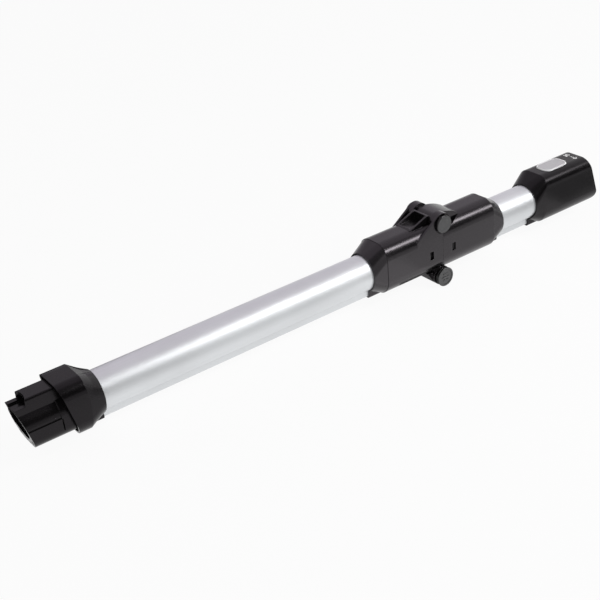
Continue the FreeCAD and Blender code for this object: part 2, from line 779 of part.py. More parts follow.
def coil(radius, wire, height, turns):
    """An open coil along +Z from z = 0: eight-sided sections set along a helix, with flat strips between."""
    rise = height - 2 * wire
    count = turns * coil_steps
    corners = [2 * math.pi * k / coil_sides for k in range(coil_sides)]
    points = [V(radius + wire * math.cos(a), 0, wire * math.sin(a)) for a in corners]
    sections = []
    for k in range(count + 1):
        ring = Part.makePolygon(points + points[:1])
        ring = ring.rotated(V(0, 0, 0), V(0, 0, 1), 360 * k / coil_steps)
        sections.append(ring.translated(V(0, 0, wire + rise * k / count)))
    return Part.makeLoft(sections, True, True)


def latch_spring():
    """The coil between the stop ring and the cap."""
    y0 = collar_y + collar_t + fit
    y1 = barrel_half - cap_plug - fit
    spring = coil(latch_coil_r, latch_wire_r, y1 - y0, latch_turns)
    spring = spring.rotated(V(0, 0, 0), V(1, 0, 0), -90)
    return spring.translated(V(0, y0, barrel_z))


# Socket pieces, also from the parting plane

def capsule(grow, z0, z1):
    """The release button's outline, grown evenly, from z0 up to z1."""
    half_l = button_len / 2 + grow
    half_w = button_w / 2 + grow
    block = box(button_x - half_l, button_x + half_l, -half_w, half_w, z0, z1)
    posts = [e for e in block.Edges if e.BoundBox.ZLength > 0.1]
    return block.makeFillet(button_r + grow, posts)


def socket_mask():
    """Everything short of the socket's slanted mouth, with its round lower corner."""
    top_x = socket_end_x - socket_slant * far
    low_x = socket_end_x + socket_slant * socket_low
    pts = [V(0, 0, far), V(top_x, 0, far), V(low_x, 0, -socket_low), V(0, 0, -socket_low)]
    block = plate(pts, -far, far)
    edge = [e for e in block.Edges
            if e.BoundBox.YLength > 1 and e.BoundBox.XMin > 1 and e.BoundBox.ZMax < 0]
    return block.makeFillet(socket_corner, edge)


def socket_shell():
    """Cone, chamber for the catch, bulkhead and the cavity shaped to a plug."""
    end = socket_end_x + socket_slant * far
    well_z = socket_top - well_depth
    channel_half = block_half + plug_clear
    rail_half = channel_half + rib_t
    skin = bar(socket_section(socket_box_x), end).common(socket_mask())
    body = skin.cut(bar(socket_section(socket_box_x, shell_wall), bulk_x))
    body = body.fuse(cone(socket_mouth_x, socket_box_x, socket_section(socket_box_x),
                          socket_section(socket_box_x, shell_wall)))
    well = capsule(button_gap + well_wall, well_z, far).common(skin)
    body = body.fuse(well).cut(capsule(button_gap, pressed_z - run, far))
    relief = bar(socket_section(block_stop_x + shell_wall, shell_wall), end)
    relief = relief.cut(cyl_x(spigot_r + plug_clear + rib_t, cavity_x, shoulder_stop_x - plug_clear))
    relief = relief.cut(box(cavity_x, end, -rail_half, rail_half, -far, far))
    relief = relief.cut(box(cavity_x, end, -far, far, -far, body_top + plug_clear + rib_t))
    channel = box(block_stop_x - plug_clear, end, -channel_half, channel_half, 0, block_top + plug_clear)
    shelf_room = box(cavity_x, end, -channel_half, channel_half, 0, shelf_top + plug_clear)
    shoulder_room = cyl_x(body_half + plug_clear, shoulder_stop_x - plug_clear, end)
    body = body.cut(plug_form(cavity_x, end, plug_clear).fuse(channel).fuse(relief))
    body = body.cut(shelf_room.fuse(shoulder_room))
    slot_y = lever_half + fold_gap
    body = body.cut(box(bulk_x - 1, block_stop_x + 1, -slot_y, slot_y, spigot_r, socket_top - shell_wall))
    body = body.cut(cyl_x(spigot_r + fit, bulk_x - 1, cavity_x + 1))
    half = contact_block_half + fit
    high = contact_block_h / 2 + fit
    body = body.cut(box(bulk_x - 1, cavity_x + 1, -half, half, line_z - high, line_z + high))
    return body.removeSplitter()


def socket_duct():
    """The duct from the tube's bore to the slanted seat, with the lever's two lugs."""
    x0 = tube_end_x - sleeve_len
    sleeve = cyl_x(tube_r - tube_wall - fit, x0, tube_end_x + fit)
    flange = bar(socket_section(tube_end_x + fit, shell_wall + fit), tube_end_x + fit + shell_wall)
    pipe = cyl_x(spigot_r, tube_end_x, seat_x)
    lug = box(lever_pivot_x - lug_half, lever_pivot_x + lug_half, lever_half + run, lever_half + run + lug_t,
              airway_r, pressed_z - run)
    shape = sleeve.fuse(flange).fuse(pipe).fuse(both_sides(lug))
    shape = shape.cut(cyl_x(airway_r, x0 - 1, seat_x + 1))
    shape = shape.cut(slanted_end(seat_x + plug_end_x - seal_t - fit, mouth_slant, 1))
    shape = shape.cut(cyl_y(catch_pin_r + fit / 2, -far, far, lever_pivot_x, lever_z))
    half = line_y + wire_room
    notch = box(tube_end_x, tube_end_x + 2 * shell_wall, -half, half, -far, line_z + wire_room)
    return shape.cut(notch).removeSplitter()


def socket_seal():
    """The soft ring on the duct's slanted end."""
    seat = seat_x + plug_end_x
    ring = cyl_x(spigot_r, cavity_x - far, seat_x + far)
    ring = ring.cut(cyl_x(airway_r, cavity_x - 2 * far, seat_x + 2 * far))
    return ring.cut(slanted_end(seat - seal_t, mouth_slant, -1)).cut(slanted_end(seat, mouth_slant, 1))


def contact_block():
    """The block that carries the contact pins through the bulkhead."""
    half_h = contact_block_h / 2
    back = bulk_x - block_back
    middle = bulk_x - block_back / 2
    front = cavity_x + block_front
    block = box(back, front, -contact_block_half, contact_block_half, line_z - half_h, line_z + half_h)
    for side in (-1, 1):
        block = block.cut(cyl_x(pin_contact_r + fit / 2, middle, front + 1, side * line_y, line_z))
        block = block.cut(cyl_x(wire_r + fit, back - 1, middle, side * line_y, line_z))
    return block


def socket_contacts():
    """Two pins that reach into a plug's sleeves."""
    x0 = bulk_x - block_back / 2 + fit
    return Part.makeCompound([cyl_x(pin_contact_r, x0, pin_tip_x, side * line_y, line_z) for side in (-1, 1)])


def catch_lever():
    """The sprung lever: tail, pivot boss, and the tongue with its barb."""
    x1 = lever_pivot_x + lever_tip
    low = lever_top - barb_sink
    body = box(lever_pivot_x - lever_tail, x1, -lever_half, lever_half, lever_z - lever_t / 2, lever_top)
    boss = cyl_y(lever_boss, -lever_half, lever_half, lever_pivot_x, lever_z)
    heel = x1 - barb_len
    pts = [V(heel, 0, low), V(heel, 0, lever_top + barb_h), V(x1, 0, lever_top), V(x1, 0, low)]
    shape = body.fuse(boss).fuse(plate(pts, -lever_half, lever_half))
    return shape.cut(cyl_y(catch_pin_r + pin_run, -far, far, lever_pivot_x, lever_z)).removeSplitter()


def catch_pin():
    """The lever's pin, through both lugs."""
    half = lever_half + run + lug_t
    return cyl_y(catch_pin_r, -half, half, lever_pivot_x, lever_z)


def release_button():
    """The oval button: skin, skirt and the stem that pushes the lever."""
    top = socket_top + button_proud
    low = top - button_skirt
    under = top - button_skin
    shape = capsule(0, low, top)
    rims = [e for e in shape.Edges if e.BoundBox.ZLength < 0.01 and e.BoundBox.ZMax > top - 0.01]
    shape = shape.makeChamfer(button_bevel, rims)
    shape = shape.cut(capsule(-button_wall, low - 1, under))
    shape = shape.cut(box(block_stop_x - 2, button_x + button_len, -far, far, low - 1, under))
    push_x = lever_pivot_x + press_arm
    half = lever_half - 1
    stem = box(push_x - stem_half, push_x + stem_half, -half, half, lever_top + run, under + fit)
    return shape.fuse(stem).removeSplitter()


def release_spring():
    """The coil between the lever's tail and the socket's top wall."""
    z0 = lever_top + fit
    z1 = socket_top - shell_wall - fit
    spring = coil(tail_coil_r, tail_wire_r, z1 - z0, tail_turns)
    return spring.translated(V(spring_x, 0, z0))


def main():
    """Makes every piece and writes one file for each."""
    seam_in = shell_len - tube_in
    cuff_x = hose_half + cuff_len - wire_grip + fit
    back_x = bulk_x - block_back / 2 - fit
    pieces = {
        "plug_collar": plug_collar(),
        "plug_spigot": plug_spigot(),
        "plug_contacts": plug_contacts(),
        "lower_tube": tube(tube_start_x, joint_x - seam_in),
        "lower_wires": wires(contact_end + fit, joint_x - cuff_x),
        "lower_ferrule": at_joint(ferrule()),
        "lower_duct": at_joint(duct()),
        "lower_cuff": at_joint(cuff()),
        "lower_housing": at_joint(lower_housing()),
        "hinge_pin": at_joint(hinge_pin()),
        "hinge_cap": at_joint(hinge_cap()),
        "latch_button": at_joint(latch_button()),
        "latch_collar": at_joint(latch_collar()),
        "latch_spring": at_joint(latch_spring()),
        "latch_cap": at_joint(latch_cap()),
        "hose": at_joint(hose()),
        "upper_housing": at_joint(upper_housing()),
        "upper_cuff": at_joint(mirror_x(cuff())),
        "upper_duct": at_joint(mirror_x(duct())),
        "upper_ferrule": at_joint(mirror_x(ferrule())),
        "upper_tube": at_joint(tube(seam_in, tube_end_x)),
        "upper_wires": at_joint(wires(cuff_x, back_x)),
        "socket_shell": at_joint(socket_shell()),
        "socket_duct": at_joint(socket_duct()),
        "socket_seal": at_joint(socket_seal()),
        "socket_contact_block": at_joint(contact_block()),
        "socket_contacts": at_joint(socket_contacts()),
        "release_button": at_joint(release_button()),
        "catch_lever": at_joint(catch_lever()),
        "catch_pin": at_joint(catch_pin()),
        "release_spring": at_joint(release_spring()),
    }
    os.makedirs("parts", exist_ok=True)
    for name, shape in pieces.items():
        shape.exportStep("parts/" + name + ".step")


main()
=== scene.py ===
"""Dresses a folding vacuum cleaner wand: satin aluminium tubes between moulded black fittings.

The part's own frame is kept: the wand lies along +X, the release button faces +Z, and the heads of the
hinge pin and of the latch button face -Y. Shapes are worked out in millimetres. The radii, depths and
patterns of the finishes are in metres, as are the camera, the lamps and the cards round the wand.
"""
import bpy
import bmesh
import json
import math
import numpy as np
from mathutils import Matrix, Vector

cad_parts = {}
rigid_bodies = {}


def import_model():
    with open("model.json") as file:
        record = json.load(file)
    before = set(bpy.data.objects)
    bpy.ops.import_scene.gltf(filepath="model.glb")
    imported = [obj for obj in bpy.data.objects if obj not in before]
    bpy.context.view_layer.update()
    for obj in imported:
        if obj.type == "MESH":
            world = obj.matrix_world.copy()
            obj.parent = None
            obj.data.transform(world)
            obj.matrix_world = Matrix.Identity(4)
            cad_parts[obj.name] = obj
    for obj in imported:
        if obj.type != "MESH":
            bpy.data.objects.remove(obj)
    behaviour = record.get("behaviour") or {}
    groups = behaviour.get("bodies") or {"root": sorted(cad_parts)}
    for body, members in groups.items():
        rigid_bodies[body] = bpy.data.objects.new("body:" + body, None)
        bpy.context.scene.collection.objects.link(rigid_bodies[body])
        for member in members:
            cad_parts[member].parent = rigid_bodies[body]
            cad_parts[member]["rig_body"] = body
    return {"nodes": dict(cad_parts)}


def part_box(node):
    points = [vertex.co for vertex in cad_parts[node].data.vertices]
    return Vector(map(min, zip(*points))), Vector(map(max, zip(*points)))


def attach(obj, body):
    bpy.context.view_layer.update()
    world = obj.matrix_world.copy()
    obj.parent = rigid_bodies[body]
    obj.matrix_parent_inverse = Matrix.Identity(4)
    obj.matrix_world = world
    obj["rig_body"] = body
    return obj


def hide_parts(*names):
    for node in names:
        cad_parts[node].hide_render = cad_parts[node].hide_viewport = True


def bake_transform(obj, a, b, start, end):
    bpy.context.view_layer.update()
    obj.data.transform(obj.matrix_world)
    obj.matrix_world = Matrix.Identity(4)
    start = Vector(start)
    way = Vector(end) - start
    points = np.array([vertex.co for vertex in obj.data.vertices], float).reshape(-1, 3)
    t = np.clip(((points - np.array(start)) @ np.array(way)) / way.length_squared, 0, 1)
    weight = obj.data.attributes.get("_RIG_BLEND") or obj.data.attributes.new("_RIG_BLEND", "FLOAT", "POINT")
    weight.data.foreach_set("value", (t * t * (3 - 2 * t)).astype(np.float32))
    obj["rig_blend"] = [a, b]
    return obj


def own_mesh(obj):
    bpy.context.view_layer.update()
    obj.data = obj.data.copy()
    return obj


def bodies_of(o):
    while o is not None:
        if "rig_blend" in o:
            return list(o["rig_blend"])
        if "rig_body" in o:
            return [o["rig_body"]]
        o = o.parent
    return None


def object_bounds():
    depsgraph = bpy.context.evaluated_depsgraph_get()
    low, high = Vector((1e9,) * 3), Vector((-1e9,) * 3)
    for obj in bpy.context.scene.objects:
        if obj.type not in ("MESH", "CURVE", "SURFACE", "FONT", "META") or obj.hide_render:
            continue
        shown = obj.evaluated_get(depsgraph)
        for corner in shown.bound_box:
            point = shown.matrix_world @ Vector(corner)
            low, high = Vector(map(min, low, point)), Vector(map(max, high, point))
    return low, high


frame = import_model()
cad_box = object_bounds()
MM = 0.001


def box_mm(node):
    """A node's lowest and highest corners at rest, in millimetres."""
    low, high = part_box(node)
    return np.array(low) / MM, np.array(high) / MM


def body_of(node):
    """The name of the body that a node rides on."""
    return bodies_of(frame["nodes"][node])[0]


SOCKET_LOW, SOCKET_HIGH = box_mm("socket_shell")
SOCKET_CONE_LEN = 16.0
SOCKET_SEAM = SOCKET_LOW[0] + SOCKET_CONE_LEN    # where the socket's cone meets its box, along X


# Shader arithmetic

class Value:
    """A shader socket that takes part in arithmetic: each operator adds one Math node."""

    def __init__(self, nodes, socket):
        self.nodes = nodes
        self.socket = socket

    def result(self, operation, *inputs):
        """What one operation makes of its inputs, in their order."""
        node = self.nodes.node("ShaderNodeMath", {"operation": operation}, dict(enumerate(inputs)))
        return Value(self.nodes, node.outputs[0])

    def __add__(self, other):
        return self.result("ADD", self, other)

    def __sub__(self, other):
        return self.result("SUBTRACT", self, other)

    def __rsub__(self, other):
        return self.result("SUBTRACT", other, self)

    def __mul__(self, other):
        return self.result("MULTIPLY", self, other)

    def __abs__(self):
        return self.result("ABSOLUTE", self)

    __radd__ = __add__
    __rmul__ = __mul__

    def at_least(self, other):
        """The larger of the two."""
        return self.result("MAXIMUM", self, other)

    def smooth(self, low, high):
        """0 below low, 1 above high, and an S curve between."""
        node = self.nodes.node("ShaderNodeMapRange", {"interpolation_type": "SMOOTHSTEP"},
                               {"Value": self, "From Min": low, "From Max": high})
        return Value(self.nodes, node.outputs[0])

    def swing(self, amount):
        """A pattern that runs from 0 to 1, made to swing about 0 by half the amount each way."""
        return (self - 0.5) * amount


class Nodes:
    """The nodes of one material or of the world: every node is added by node, and fed by plug."""

    def __init__(self, tree):
        self.tree = tree

    def plug(self, node, inputs):
        """Gives sockets, each by its name or number, a value, another socket or a constant."""
        for key, given in inputs.items():
            if isinstance(given, Value):
                given = given.socket
            if isinstance(given, bpy.types.NodeSocket):
                self.tree.links.new(given, node.inputs[key])
            else:
                node.inputs[key].default_value = given

    def node(self, kind, settings=None, inputs=None):
        """A new node of a kind: its settings first, then its sockets."""
        made = self.tree.nodes.new(kind)
        for key, given in (settings or {}).items():
            setattr(made, key, given)
        self.plug(made, inputs or {})
        return made


class Finish(Nodes):
    """One surface finish: a Principled shader, and the patterns that feed it."""

    def __init__(self, name, constants):
        self.material = bpy.data.materials.new(name)
        self.material.use_nodes = True
        super().__init__(self.material.node_tree)
        self.shader = self.tree.nodes["Principled BSDF"]
        self.plug(self.shader, constants)

    def place(self, stretch):
        """Object coordinates, stretched by a Mapping node."""
        coords = self.node("ShaderNodeTexCoord").outputs["Object"]
        return self.node("ShaderNodeMapping", None, {"Vector": coords, "Scale": stretch}).outputs[0]

    def noise(self, scale, detail=2, rough=0.5, stretch=(1, 1, 1), warp=0.0):
        """A cloudy pattern from 0 to 1, with so much detail in it and so rough."""
        made = self.node("ShaderNodeTexNoise", None, {
            "Vector": self.place(stretch), "Scale": scale, "Detail": detail,
            "Roughness": rough, "Distortion": warp})
        return Value(self, made.outputs["Fac"])

    def grain(self, scale):
        """Rounded cells packed side by side, as spark erosion leaves them in a mould."""
        made = self.node("ShaderNodeTexVoronoi", {"feature": "SMOOTH_F1"}, {
            "Vector": self.place((1, 1, 1)), "Scale": scale, "Smoothness": 0.6})
        return Value(self, made.outputs["Distance"])

    def blend(self, mask, first, second, share=1.0):
        """The first colour where the mask is 0, and the second, up to a share, as the mask nears 1."""
        if share < 1:
            mask = mask * share
        inputs = {0: mask, 6: first, 7: second}
        return self.node("ShaderNodeMix", {"data_type": "RGBA"}, inputs).outputs[2]

    def rounded(self, radius):
        """The Bevel node's normal: it makes every edge catch the light as if it had this radius."""
        return self.node("ShaderNodeBevel", {"samples": 6}, {"Radius": radius}).outputs[0]

    def edge_mask(self, soft):
        """1 on an edge and 0 on a face: how far the rounded normal leans from the true one."""
        true = self.node("ShaderNodeNewGeometry").outputs["Normal"]
        alike = self.node("ShaderNodeVectorMath", {"operation": "DOT_PRODUCT"}, {0: soft, 1: true})
        return (1 - Value(self, alike.outputs["Value"])).smooth(0.02, 0.22)

    def bump(self, height, depth, normal=None):
        inputs = {"Height": height, "Strength": 1.0, "Distance": depth}
        if normal is not None:
            inputs["Normal"] = normal
        return self.node("ShaderNodeBump", None, inputs).outputs[0]

    def surface(self, **inputs):
        """Feeds the shader's sockets, an underscore standing for the space in a name."""
        self.plug(self.shader, {key.replace("_", " "): given for key, given in inputs.items()})
        return self.material


# Finishes

def grey(level, warm=0.0, cool=0.0):
    """A grey, with its red raised by one share and its blue by another."""
    return (level * (1 + warm), level, level * (1 + cool), 1.0)


def toned(colour, gain, lift=0.0):
    """A darker or paler colour: each channel times gain, plus lift, and at most 1."""
    return tuple(min(1.0, gain * channel + lift) for channel in colour[:3]) + (1.0,)


def moulded(name, dark, light, rough, edge_radius, depth, specular=0.5):
    """Moulded plastic: spark-eroded grain, cloudy gloss from handling, faint scuffs, and rubbed edges."""
    finish = Finish(name, {"Specular IOR Level": specular, "Specular Tint": (1.0, 0.92, 0.99, 1.0)})
    soft = finish.rounded(edge_radius)
    edge = finish.edge_mask(soft)
    cloud = finish.noise(38, detail=3, rough=0.6)
    cells = finish.grain(2600)
    pits = finish.noise(5200, rough=0.6)
    scuff = finish.noise(120, detail=4, rough=0.7, stretch=(1, 9, 5), warp=0.4).smooth(0.62, 0.72)
    rub = edge * finish.noise(260, detail=3, rough=0.6).smooth(0.35, 0.6)
    worn = toned(light, 2.1, lift=0.012)
    tone = finish.blend(cloud.smooth(0.3, 0.7), dark, light)
    tone = finish.blend(rub, tone, worn, share=0.55)
    tone = finish.blend(scuff, tone, worn, share=0.10)
    gloss = rough + cloud.swing(0.10) + scuff * 0.06 - edge * 0.10 + pits.swing(0.06)
    height = cells * 0.6 + pits * 0.4
    return finish.surface(Base_Color=tone, Roughness=gloss, Normal=finish.bump(height, depth, soft))


def facing_toned_plastic(name, axis, face, rim_tone, rough, rim_rough, specular=0.5):
    """Satin plastic with one tone on the faces that look along an axis, and another on the rims and sides
    round them. The rims' roughness differs from the faces' by rim_rough. On the release button, the pale
    rim tone is partly the rim's own colour and partly a painted highlight along its bevel."""
    finish = Finish(name, {"Specular IOR Level": specular})
    soft = finish.rounded(0.5 * MM)
    normal = finish.node("ShaderNodeTexCoord").outputs["Normal"]
    parts = finish.node("ShaderNodeSeparateXYZ", None, {0: normal})
    rim = 1 - abs(Value(finish, parts.outputs[axis])).smooth(0.90, 0.985)
    cloud = finish.noise(60, detail=3, rough=0.6)
    pits = finish.noise(4200, rough=0.6)
    tone = finish.blend(cloud.smooth(0.3, 0.7), face, toned(face, 0.90), share=0.6)
    tone = finish.blend(rim, tone, rim_tone)
    gloss = rough + cloud.swing(0.08) + pits.swing(0.06) + rim * rim_rough
    return finish.surface(Base_Color=tone, Roughness=gloss, Normal=finish.bump(pits, 0.008 * MM, soft))


def brushed_metal(name, base, low, rough):
    """Anodised drawn tube: fine die lines along its length, a cloudy film and a few dull rub marks."""
    finish = Finish(name, {"Metallic": 1.0})
    soft = finish.rounded(0.3 * MM)
    lines = finish.noise(600, detail=3, rough=0.7, stretch=(0.006, 1, 1))
    broad = finish.noise(110, stretch=(0.02, 1, 1))
    film = finish.noise(16, detail=3, rough=0.55)
    marks = finish.noise(70, detail=4, rough=0.7, stretch=(0.35, 1.4, 1.4), warp=0.6).smooth(0.66, 0.74)
    tone = finish.blend(film.smooth(0.25, 0.75), low, base)
    tone = finish.blend(lines.smooth(0.3, 0.7), tone, toned(base, 0.93), share=0.35)
    tone = finish.blend(marks, tone, toned(base, 0.80), share=0.12)
    gloss = rough + lines.swing(0.07) + broad.swing(0.07) + film.swing(0.05) + marks * 0.05
    height = lines * 0.7 + broad * 0.3
    return finish.surface(Base_Color=tone, Roughness=gloss, Normal=finish.bump(height, 0.006 * MM, soft))


def turned_metal(name, base, rough):
    """Drawn or turned metal with fine lines and darker tarnish."""
    finish = Finish(name, {"Metallic": 1.0})
    lines = finish.noise(900, detail=3, rough=0.6, stretch=(0.05, 1, 1))
    stain = finish.noise(240, detail=4, rough=0.6).smooth(0.5, 0.75)
    tone = finish.blend(stain, base, toned(base, 0.62), share=0.5)
    gloss = rough + lines.swing(0.12) + stain * 0.12
    return finish.surface(Base_Color=tone, Roughness=gloss, Normal=finish.bump(lines, 0.004 * MM))


def rubber(name, base, dusty, rough):
    """Soft rubber with a dusty bloom in patches and a fine matt skin."""
    finish = Finish(name, {"Specular IOR Level": 0.35})
    bloom = finish.noise(90, detail=4, rough=0.65).smooth(0.42, 0.7)
    skin = finish.noise(3600, rough=0.6)
    tone = finish.blend(bloom, base, dusty, share=0.6)
    gloss = rough + bloom * 0.12 + skin.swing(0.1)
    return finish.surface(Base_Color=tone, Roughness=gloss, Normal=finish.bump(skin, 0.012 * MM))


def ink(name, base, rough):
    """Pad-printed ink, slightly broken where the grain below shows through."""
    finish = Finish(name, {"Specular IOR Level": 0.4})
    broken = finish.noise(2400, detail=3, rough=0.7).smooth(0.66, 0.8)
    tone = finish.blend(broken, base, toned(base, 0.45), share=0.5)
    gloss = rough + broken * 0.2
    return finish.surface(Base_Color=tone, Roughness=gloss, Normal=finish.bump(broken, 0.008 * MM))


LOOKS = {
    "shell_black": (moulded, dict(
        dark=grey(0.0032, 0.10, 0.12), light=grey(0.0050, 0.10, 0.12),
        rough=0.235, edge_radius=0.6 * MM, depth=0.005 * MM, specular=0.56)),
    # the shells' black plastic made darker and less glossy: painted shade on the plug and socket ends
    "end_black": (moulded, dict(
        dark=grey(0.0024, 0.10, 0.08), light=grey(0.0036, 0.10, 0.08),
        rough=0.235, edge_radius=0.5 * MM, depth=0.004 * MM, specular=0.27)),
    "pin_black": (facing_toned_plastic, dict(
        axis="Y", face=grey(0.056, 0.0, 0.03), rim_tone=grey(0.003, 0.05, 0.05),
        rough=0.27, rim_rough=0.0, specular=0.60)),
    "inner_grey": (moulded, dict(
        dark=grey(0.055, 0.01, 0.02), light=grey(0.075, 0.01, 0.02),
        rough=0.48, edge_radius=0.4 * MM, depth=0.016 * MM)),
    "duct_black": (moulded, dict(
        dark=grey(0.0030), light=grey(0.0050),
        rough=0.46, edge_radius=0.4 * MM, depth=0.010 * MM, specular=0.25)),
    # on the button's bevel the pale rim tone is partly its own colour and partly a painted highlight
    "button_grey": (facing_toned_plastic, dict(
        axis="Z", face=grey(0.56, 0.03, 0.05), rim_tone=grey(0.90, 0.0, 0.01),
        rough=0.42, rim_rough=-0.12)),
    # the bead's white is partly the rim's own colour and partly a painted highlight
    "lip_white": (moulded, dict(
        dark=grey(0.86, 0.0, 0.01), light=grey(0.91, 0.0, 0.01),
        rough=0.30, edge_radius=0.2 * MM, depth=0.004 * MM)),
    "aluminium": (brushed_metal, dict(
        base=grey(0.775, -0.02, 0.02), low=grey(0.725, -0.02, 0.02), rough=0.50)),
    "brass": (turned_metal, dict(base=(0.78, 0.55, 0.22, 1), rough=0.28)),
    "steel": (turned_metal, dict(base=(0.56, 0.56, 0.57, 1), rough=0.26)),
    "wire_red": (rubber, dict(base=(0.32, 0.02, 0.018, 1), dusty=(0.40, 0.10, 0.09, 1), rough=0.42)),
    "hose_rubber": (rubber, dict(base=grey(0.018), dusty=grey(0.050, 0.05, -0.04), rough=0.6)),
    "seal_rubber": (rubber, dict(base=grey(0.035), dusty=grey(0.080, 0.04, -0.04), rough=0.66)),
    "white_ink": (ink, dict(base=grey(0.88), rough=0.5)),
}

FINISHES = {name: maker(name, **look) for name, (maker, look) in LOOKS.items()}

NODE_FINISH = {
    "shell_black": ["lower_housing", "upper_housing", "lower_ferrule", "upper_ferrule"],
    "end_black": ["plug_collar", "plug_spigot", "socket_shell"],
    "pin_black": ["hinge_pin", "hinge_cap", "latch_button", "latch_cap", "latch_collar"],
    "inner_grey": ["lower_cuff", "upper_cuff", "catch_lever", "socket_contact_block"],
    "duct_black": ["lower_duct", "upper_duct", "socket_duct"],
    "button_grey": ["release_button"],
    "aluminium": ["lower_tube", "upper_tube"],
    "brass": ["plug_contacts", "socket_contacts"],
    "steel": ["latch_spring", "release_spring", "catch_pin"],
    "wire_red": ["lower_wires", "upper_wires"],
    "hose_rubber": ["hose"],
    "seal_rubber": ["socket_seal"],
}


def dress_nodes():
    """Gives each carried-over node its finish."""
    for finish, names in NODE_FINISH.items():
        for name in names:
            mesh = frame["nodes"][name].data
            mesh.materials.clear()
            mesh.materials.append(FINISHES[finish])


# Pieces made of surfaces

def cleaned(mesh, reach, outwards):
    """Joins the points that lie within reach of each other, and turns the faces outwards where asked."""
    loose = bmesh.new()
    loose.from_mesh(mesh)
    bmesh.ops.remove_doubles(loose, verts=loose.verts, dist=reach)
    if outwards:
        bmesh.ops.recalc_face_normals(loose, faces=loose.faces)
    loose.to_mesh(mesh)
    loose.free()


def add_piece(name, mesh, finish, sharp):
    """A piece of a mesh in its finish: smooth, apart from edges that turn by more than sharp degrees."""
    mesh.shade_smooth()
    mesh.set_sharp_from_angle(angle=math.radians(sharp))
    mesh.materials.clear()
    mesh.materials.append(FINISHES[finish])
    piece = bpy.data.objects.new(name, mesh)
    bpy.context.scene.collection.objects.link(piece)
    return piece


def sheet_piece(name, sheets, finish):
    """A new piece made of grid sheets.

    Each sheet is (points, closed_u, closed_v): an array of shape (u, v, 3) in millimetres, whose
    columns or rows may close on themselves. Quads join neighbours in the grid.
    """
    points = []
    quads = []
    base = 0
    for grid, closed_u, closed_v in sheets:
        rows, columns = grid.shape[:2]
        index = base + np.arange(rows * columns).reshape(rows, columns)
        if closed_u:
            index = np.vstack([index, index[:1]])
        if closed_v:
            index = np.hstack([index, index[:, :1]])
        corners = [index[:-1, :-1], index[1:, :-1], index[1:, 1:], index[:-1, 1:]]
        quads.append(np.stack(corners, -1).reshape(-1, 4))
        points.append(grid.reshape(-1, 3))
        base += rows * columns
    mesh = bpy.data.meshes.new(name)
    mesh.from_pydata((np.concatenate(points) * MM).tolist(), [], np.concatenate(quads).tolist())
    cleaned(mesh, 0.0001 * MM, outwards=True)
    return add_piece(name, mesh, finish, sharp=38)


# Hose and springs

def turned_about_x(x, radius, count):
    """A profile turned about X: (x, radius) becomes (x, radius sin a, radius cos a) for count angles a."""
    angle = np.linspace(0, 2 * np.pi, count, endpoint=False)
    across = np.outer(radius, np.sin(angle))
    above = np.outer(radius, np.cos(angle))
    return np.stack([np.repeat(x[:, None], count, 1), across, above], -1)


def hose_piece():
    """The corrugated hose, which bends with the knee and whose ends lie plain in the cuffs.

    Its inner radius is root + depth ((1 - cos 2 pi k) / 2) ^ power, where k counts the folds from one end,
    and its outer radius is a wall more.
    """
    low, high = box_mm("hose")
    cuff_low, cuff_high = box_mm("lower_cuff")
    cuff = cuff_high[0] - cuff_low[0]
    knee = (low[0] + high[0]) / 2
    half = (high[0] - low[0]) / 2 - cuff
    root = 15.0
    wall = 0.8
    depth = high[2] - root - wall
    power = 0.7
    folds = 12
    steps_per_fold = 16
    steps_round = 96
    folded = np.linspace(-half, half, folds * steps_per_fold + 1)
    x = np.concatenate([[-half - cuff], folded, [half + cuff]])
    k = np.clip((x + half) / (2 * half), 0, 1) * folds
    swell = depth * (0.5 - 0.5 * np.cos(2 * np.pi * k)) ** power
    inner = root + swell
    outer = inner + wall
    profile_x = np.concatenate([x, x[::-1]]) + knee
    profile_radius = np.concatenate([outer, inner[::-1]])
    grid = turned_about_x(profile_x, profile_radius, steps_round)
    piece = sheet_piece("knee_hose", [(grid, True, True)], "hose_rubber")
    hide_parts("hose")
    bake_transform(piece, "lower", "upper", start=((knee - half) * MM, 0, 0), end=((knee + half) * MM, 0, 0))


def helix(radius, wire, height, turns):
    """A wire along a helix on Z, with half a turn that lies flat at each end. Between them the height is
    a mix of a straight line and an S curve of the angle. The wire's circle tapers to nothing at both tips.
    """
    steps_per_turn = 48
    sides = 12
    bent = 0.35
    taper = 1 / 12
    t = np.linspace(0, 1, turns * steps_per_turn + 1)
    angle = 2 * np.pi * turns * t
    flat = 0.5 / turns
    climb = np.clip((t - flat) / (1 - 2 * flat), 0, 1)
    climb = bent * climb * climb * (3 - 2 * climb) + (1 - bent) * climb
    middle = wire + (height - 2 * wire) * climb
    from_tip = np.minimum(1, np.minimum(t, 1 - t) * turns / taper)
    thick = wire * np.sqrt(1 - (1 - from_tip) ** 2)
    round_wire = np.linspace(0, 2 * np.pi, sides, endpoint=False)
    out = radius + thick[:, None] * np.cos(round_wire)
    above = middle[:, None] + thick[:, None] * np.sin(round_wire)
    return np.stack([out * np.cos(angle)[:, None], out * np.sin(angle)[:, None], above], -1)


def coil_spring(name, node, wire, turns, axis):
    """A coil that replaces a node and lies along axis, as long and as wide as the node.
    """
    low, high = box_mm(node)
    along = axis.index(1)
    length = (high - low)[along]
    radius = (high - low)[0] / 2 - wire
    start = (low + high) / 2
    start[along] = low[along]
    fixed = (low + high) / 2
    fixed[along] = high[along]
    grid = helix(radius, wire, length, turns)
    if axis == (0, 1, 0):    # laid down from Z onto Y
        grid = np.stack([grid[..., 0], grid[..., 2], -grid[..., 1]], -1)
    piece = sheet_piece(name, [(grid + start, False, True)], "steel")
    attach(piece, body_of(node))
    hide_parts(node)
    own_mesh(piece)


def springs():
    """The coil behind the latch's stop ring, which lies along Y, and the small one on the catch's lever."""
    coil_spring("latch_coil", "latch_spring", wire=0.45, turns=3,
                axis=(0, 1, 0))
    coil_spring("catch_coil", "release_spring", wire=0.25, turns=4,
                axis=(0, 0, 1))


# End fittings

